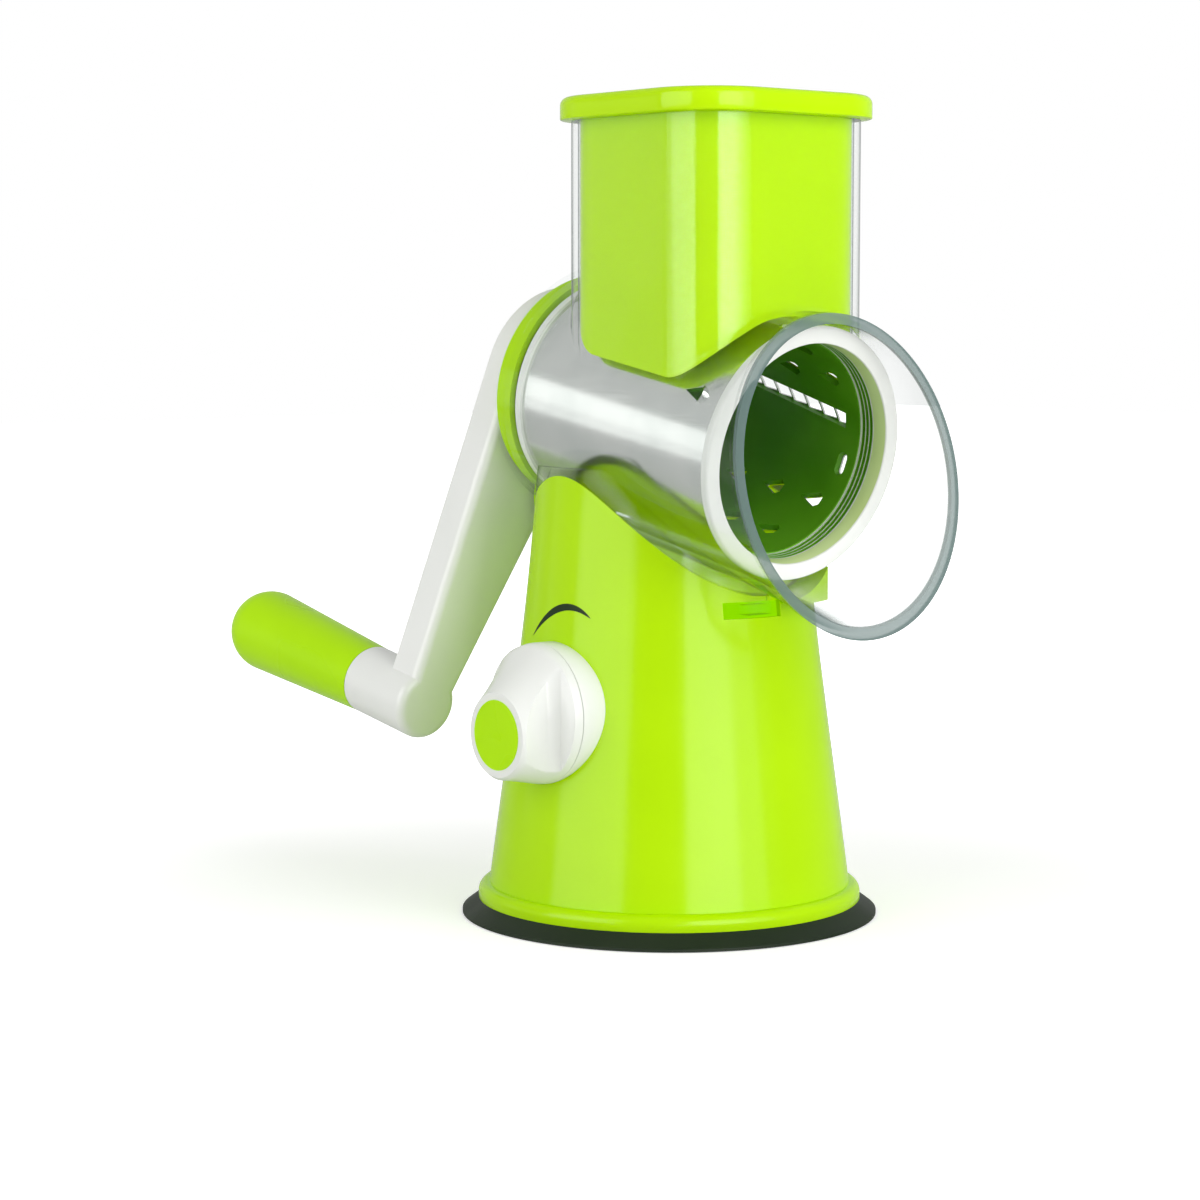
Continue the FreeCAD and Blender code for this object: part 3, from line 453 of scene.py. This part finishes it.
def drumFrame():
    # local Z to the rear along the drum's axis, local X across
    rear = Vector((0, math.cos(drumTilt), math.sin(drumTilt)))
    across = Vector((1, 0, 0))
    turned = Matrix((across, rear.cross(across), rear)).transposed().to_4x4()
    turned.translation = Vector((0, 0, drumLine["height"]))
    return turned


def turnedForm(profile, steps, matrix):
    # closed profile of (radius, length) in metres, turned about the local Z axis
    points = []
    for step in range(steps):
        angle = 2 * math.pi * step / steps
        for radius, along in profile:
            points.append(matrix @ Vector((radius * math.cos(angle), radius * math.sin(angle), along)))
    count = len(profile)
    faces = []
    for step in range(steps):
        here, there = step * count, (step + 1) % steps * count
        for index in range(count):
            beyond = (index + 1) % count
            faces.append((here + index, here + beyond, there + beyond, there + index))
    return points, faces


# radius and place along the drum's axis in millimetres; the bore has three fine grooves near the liner
ringPlan = {
    "outside": [(33.75, -61.8), (37.5, -61.8), (38.0, -61.66), (38.3, -61.32), (38.4, -60.9),
                (38.4, -59.35), (38.3, -59.1), (38.05, -59.0), (34.2, -59.0), (34.2, -51.0), (32.8, -51.0)],
    "bore": 32.8, "grooves": [(-51.9, -53.1), (-53.5, -54.7), (-55.1, -56.3)], "groove": 33.55, "slope": 0.05,
    "inside": [(32.8, -56.8), (33.22, -61.3), (33.42, -61.68)], "steps": 180, "crease": 40,
    "finishes": ["whiteGloss", "boreLinerLight", "drumGreen"],
}


def makeRing():
    plan = ringPlan
    bore, groove = plan["bore"], plan["groove"]
    profile = list(plan["outside"])
    painted = {}  # which finish the face after a profile's point gets
    for rear, front in plan["grooves"]:
        for step in range(3):
            painted[len(profile) + step] = 2
        profile += [(bore, rear), (groove, rear - plan["slope"])]
        profile += [(groove, front + plan["slope"]), (bore, front)]
    # the face behind the last groove takes the pale green of painted light from the liner
    painted[len(profile)] = 1
    profile += plan["inside"]
    scaled = [(radius / 1000, along / 1000) for radius, along in profile]
    points, faces = turnedForm(scaled, plan["steps"], drumFrame())
    ring = newPiece("ring", points, faces, plan["finishes"])
    for number, polygon in enumerate(ring.data.polygons):
        polygon.material_index = painted.get(number % len(profile), 0)
        polygon.use_smooth = True
    turnOutwards(ring.data, plan["crease"])
    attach(ring, "drum")
    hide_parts("drum_ring")


makeRing()

# direction mark over the knob: middle points (y, z) in metres of a crescent, its greatest width, how much
# its tips keep and how full it is between them, and how far its ink stands over and reaches into the wall
markPlan = {"path": [(0.0127, 0.0886), (-0.0015, 0.0981), (-0.0135, 0.0957)], "width": 0.0021, "steps": 40,
            "tip": 0.00004, "fullness": 0.8, "proud": 0.00005, "buried": 0.0002, "outside": 0.2}


def makeMark():
    # a thin film of ink that lies on the tower's own surface
    plan = markPlan
    steps = plan["steps"]
    tower = cadNodes["tower"]
    spots = [tower.matrix_world @ vertex.co for vertex in tower.data.vertices]
    surface = BVHTree.FromPolygons(spots, [tuple(polygon.vertices) for polygon in tower.data.polygons])
    start, middle, end = [Vector((0, *spot)) for spot in plan["path"]]
    # the middle point is on the curve, so the curve's handle lies beyond it
    handle = middle * 2 - (start + end) / 2
    points = []
    for step in range(steps + 1):
        share = step / steps
        centre = start * (1 - share) ** 2 + handle * 2 * share * (1 - share) + end * share ** 2
        heading = ((handle - start) * (1 - share) + (end - handle) * share).normalized()
        side = heading.cross(Vector((1, 0, 0)))
        half = plan["width"] / 2 * math.sin(math.pi * share) ** plan["fullness"] + plan["tip"]
        for offset in (-half, half):
            spot = centre + side * offset
            hit = surface.ray_cast(Vector((-plan["outside"], spot.y, spot.z)), Vector((1, 0, 0)))[0]
            for lift in (plan["proud"], -plan["buried"]):
                points.append(hit + Vector((-1, 0, 0)) * lift)
    faces = [(0, 1, 3, 2)]
    for step in range(steps):
        here, there = step * 4, step * 4 + 4
        for first, second in ((0, 2), (2, 3), (3, 1), (1, 0)):
            faces.append((here + first, here + second, there + second, there + first))
    last = steps * 4
    faces.append((last, last + 2, last + 3, last + 1))
    mark = newPiece("turn_mark", points, faces, ["printInk"])
    turnOutwards(mark.data)
    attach(mark, "stand")


makeMark()

# sizes in metres: head and shank, the circle that the screws stand on, its first angle in degrees and
# the place of the heads' tops along its axis
screwPlans = {
    "base_screws": {"head": 0.0030, "height": 0.0013, "shank": 0.0014, "length": 0.0171, "body": "stand",
                    "circle": 0.046, "count": 4, "first": 45, "along": 0.0049},
    "drum_screws": {"head": 0.0028, "height": 0.0014, "shank": 0.0014, "length": 0.0114, "body": "drum",
                    "circle": 0.0292, "count": 3, "first": 90, "along": 0.0344},
}
# shares of the head's radius and height: the recess's reach, half width, depth and foot, and the dome, whose
# rings are shares of the head's radius and of the dome's drop; then the thread's pitch in metres and its
# root, the corners of a ring, and how far in radians the seed may turn each screw
crossPlan = {"reach": 0.56, "half": 0.15, "depth": 0.55, "taper": 0.5, "dome": 0.35,
             "domeRings": [(0.80, 0.25), (0.95, 0.7), (1.0, 1.3)], "thread": 0.0009, "root": 0.82,
             "corners": 24, "spin": 1.5, "seed": 3}


def screwModel(name, plan):
    # a screw that looks along +Z from the origin: domed head with a cross recess, shank with a thread
    count = crossPlan["corners"]
    radius = plan["head"]
    reach = radius * crossPlan["reach"]
    half = radius * crossPlan["half"]
    corners = [(reach, -half), (reach, half), (half, half), (half, reach),
               (-half, reach), (-half, half), (-reach, half), (-reach, -half),
               (-half, -half), (-half, -reach), (half, -reach), (half, -half)]
    cross = []
    for index, (x, y) in enumerate(corners):
        nextX, nextY = corners[(index + 1) % len(corners)]
        cross += [(x, y), ((x + nextX) / 2, (y + nextY) / 2)]
    first = math.atan2(-half, reach)
    angles = [first + math.radians(360 / count * step) for step in range(count)]
    neck = plan["height"]
    # radius and drop of each ring below the recess's border
    outline = [(radius * share, neck * crossPlan["dome"] * drop) for share, drop in crossPlan["domeRings"]]
    outline.append((radius, neck))
    for step in range(int((plan["length"] - neck) / crossPlan["thread"])):
        for share, part in ((crossPlan["root"], 0.0), (1.0, 0.5)):
            outline.append((plan["shank"] * share, neck + (step + part) * crossPlan["thread"]))
    small, depth = crossPlan["taper"], neck * crossPlan["depth"]
    points = [(x * small, y * small, -depth) for x, y in cross] + [(x, y, 0) for x, y in cross]
    for wide, drop in outline:
        points += [(math.cos(angle) * wide, math.sin(angle) * wide, -drop) for angle in angles]
    faces = [tuple(range(count))[::-1]]
    for here in range(0, len(points) - count, count):
        there = here + count
        for step in range(count):
            after = (step + 1) % count
            faces.append((here + step, here + after, there + after, there + step))
    faces.append(tuple(range(len(points) - count, len(points))))
    return newPiece(name + "_model", points, faces, ["turnedSteel"])


def screwTree():
    tree, net, given = newGeometryTree("screwSet", [
        ("Model", "NodeSocketObject", None), ("Tilt", "NodeSocketRotation", None),
        ("Seed", "NodeSocketInt", crossPlan["seed"]), ("Finish", "NodeSocketMaterial", None)])
    model = net.add("GeometryNodeObjectInfo", {}, {"Object": given["Model"]}, output="Geometry")
    rows = net.add("GeometryNodeInstanceOnPoints", {}, {
        "Points": given["Geometry"], "Instance": model, "Rotation": given["Tilt"]})
    spin = net.add("FunctionNodeRandomValue", {"data_type": "FLOAT_VECTOR"}, {
        "Min": (0, 0, 0), "Max": (0, 0, crossPlan["spin"]), "Seed": given["Seed"]})
    turned = net.add("GeometryNodeRotateInstances", {}, {
        "Instances": rows, "Rotation": spin, "Local Space": True})
    solid = net.add("GeometryNodeRealizeInstances", {}, {"Geometry": turned})
    painted = net.add("GeometryNodeSetMaterial", {}, {"Geometry": solid, "Material": given["Finish"]})
    net.add("NodeGroupOutput", {}, {"Geometry": painted})
    return tree


screwSet = screwTree()


def makeScrews(name, axisFrame, flipped):
    # heads look along the frame's Z axis, or the other way where they are flipped
    plan = screwPlans[name]
    model = screwModel(name, plan)
    spots = []
    for index in range(plan["count"]):
        angle = math.radians(plan["first"] + 360 / plan["count"] * index)
        across, down = plan["circle"] * math.cos(angle), plan["circle"] * math.sin(angle)
        spots.append(axisFrame @ Vector((across, down, plan["along"])))
    places = newPiece(name + "_places", spots, [])
    turn = axisFrame.to_3x3().to_4x4() @ Matrix.Rotation(math.pi if flipped else 0, 4, "X")
    addTree(places, screwSet, {"Model": model, "Tilt": turn.to_euler(), "Seed": crossPlan["seed"],
                               "Finish": finishes["turnedSteel"]})
    bpy.context.view_layer.update()
    mesh = bpy.data.meshes.new_from_object(places.evaluated_get(bpy.context.evaluated_depsgraph_get()))
    for spent in (places, model):
        bpy.data.objects.remove(spent)
    screws = newObject(name + "_crossed", mesh)
    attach(screws, plan["body"])
    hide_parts(name)
    print(name, "made, faces:", len(mesh.polygons))


makeScrews("base_screws", Matrix.Identity(4), True)
makeScrews("drum_screws", drumFrame(), False)


# Stage, light and camera

# the floor's side, its colour and mottling, how far it lies below the foot, and the white that only the
# camera adds to it, "near" the object and "far" from it, between two distances, all in metres
floorPlan = {"side": 8.0, "colour": (0.80, 0.80, 0.80), "mottle": 1.01, "scale": 3, "below": 0.0002,
             "near": 0.40, "far": 1.0, "start": 0.12, "end": 0.45}
worldPlan = {"light": 0.5, "mirrored": 0.65, "seen": 1.0}
# softboxes light the colours, and cards only show in the gloss; both stand on the floor round the object,
# at an azimuth in degrees, and their sizes are in metres
softBoxes = {
    "softRight": {"azimuth": 10, "distance": 1.25, "width": 1.2, "height": 1.3, "strength": 3.0},
    "softLeft": {"azimuth": -95, "distance": 1.25, "width": 1.2, "height": 1.3, "strength": 1.6},
}
glossCards = {
    "cardRight": {"azimuth": -12.5, "distance": 1.25, "width": 0.78, "height": 1.2, "strength": 10},
    "cardRightFar": {"azimuth": 14, "distance": 1.25, "width": 0.40, "height": 1.2, "strength": 4},
    "cardLeft": {"azimuth": -94, "distance": 1.25, "width": 1.15, "height": 1.2, "strength": 6.0},
    "cardRear": {"azimuth": -139, "distance": 1.0, "width": 0.55, "height": 0.37, "strength": 0.76},
}
cameraPlan = {"azimuth": -41.0, "distance": 0.902, "height": 0.1845, "turn": 1.38, "pitch": 5.5, "lens": 87.0}


def towards(azimuth):
    angle = math.radians(azimuth)
    return Vector((math.sin(angle), -math.cos(angle), 0))


def makeFloor():
    # pale floor that the camera sees as white away from the object, with the object's shadow kept near it
    plan = floorPlan
    made, net, place = newMaterial("paleFloor")
    cloud = net.noise(place, plan["scale"])
    shade = net.blend(cloud, rgb(plan["colour"]), rgb([value * plan["mottle"] for value in plan["colour"]]))
    flat = net.add("ShaderNodeBsdfDiffuse", {}, {"Color": shade})
    near, far = [net.add("ShaderNodeEmission", {}, {"Color": (1, 1, 1, 1), "Strength": plan[part]})
                 for part in ("near", "far")]
    glow = net.mix(net.vector("LENGTH", place).between(plan["start"], plan["end"]), near, far)
    lifted = net.add("ShaderNodeAddShader", {}, [flat, glow])
    seen = net.add("ShaderNodeLightPath", output="Is Camera Ray")
    closeMaterial(net, net.mix(seen, flat, lifted))
    half = plan["side"] / 2
    corners = [(-half, -half, 0), (half, -half, 0), (half, half, 0), (-half, half, 0)]
    floor = newPiece("floor", corners, [(0, 1, 2, 3)])
    floor.data.materials.append(made)
    floor.location.z = -plan["below"]


def makeWorld():
    # white where the camera sees it, and weaker where it lights the object or shows in its gloss
    light = worldPlan["light"]
    world = bpy.data.worlds.new("studio")
    world.use_nodes = True
    world.node_tree.nodes.clear()
    net = Net(world.node_tree)
    rays = world.node_tree.nodes.new("ShaderNodeLightPath")
    camera, passing, glossy = [Wire(net, rays.outputs[name + " Ray"])
                               for name in ("Is Camera", "Is Transmission", "Is Glossy")]
    white = camera.join("MAXIMUM", passing) * (worldPlan["seen"] - light)
    strength = white.join("MAXIMUM", glossy * (worldPlan["mirrored"] - light)) + light
    sky = net.add("ShaderNodeBackground", {}, {"Color": (1, 1, 1, 1), "Strength": strength})
    net.add("ShaderNodeOutputWorld", {}, {"Surface": sky})
    bpy.context.scene.world = world


def makeLamp(name, plan, forGloss):
    lamp = bpy.data.lights.new(name, "AREA")
    lamp.shape = "RECTANGLE"
    lamp.size = plan["width"]
    lamp.size_y = plan["height"]
    lamp.energy = plan["strength"] * math.pi * lamp.size * lamp.size_y
    side = towards(plan["azimuth"])
    lampObject = newObject(name, lamp)
    lampObject.location = side * plan["distance"] + Vector((0, 0, plan["height"] / 2))
    lampObject.rotation_euler = side.to_track_quat("Z", "Y").to_euler()
    lampObject.visible_camera = False
    lampObject.visible_glossy = forGloss
    lampObject.visible_diffuse = not forGloss


def makeCamera():
    plan = cameraPlan
    camera = newObject("camera", bpy.data.cameras.new("camera"))
    camera.data.lens = plan["lens"]
    camera.location = towards(plan["azimuth"]) * plan["distance"] + Vector((0, 0, plan["height"]))
    ahead = -towards(plan["azimuth"] + plan["turn"]) * math.cos(math.radians(plan["pitch"]))
    ahead.z = -math.sin(math.radians(plan["pitch"]))
    camera.rotation_euler = ahead.to_track_quat("-Z", "Y").to_euler()
    bpy.context.scene.camera = camera


makeFloor()
makeWorld()
for name, plan in softBoxes.items():
    makeLamp(name, plan, False)
for name, plan in glossCards.items():
    makeLamp(name, plan, True)
makeCamera()
bpy.context.scene.view_settings.view_transform = "Standard"
print("stage ready")
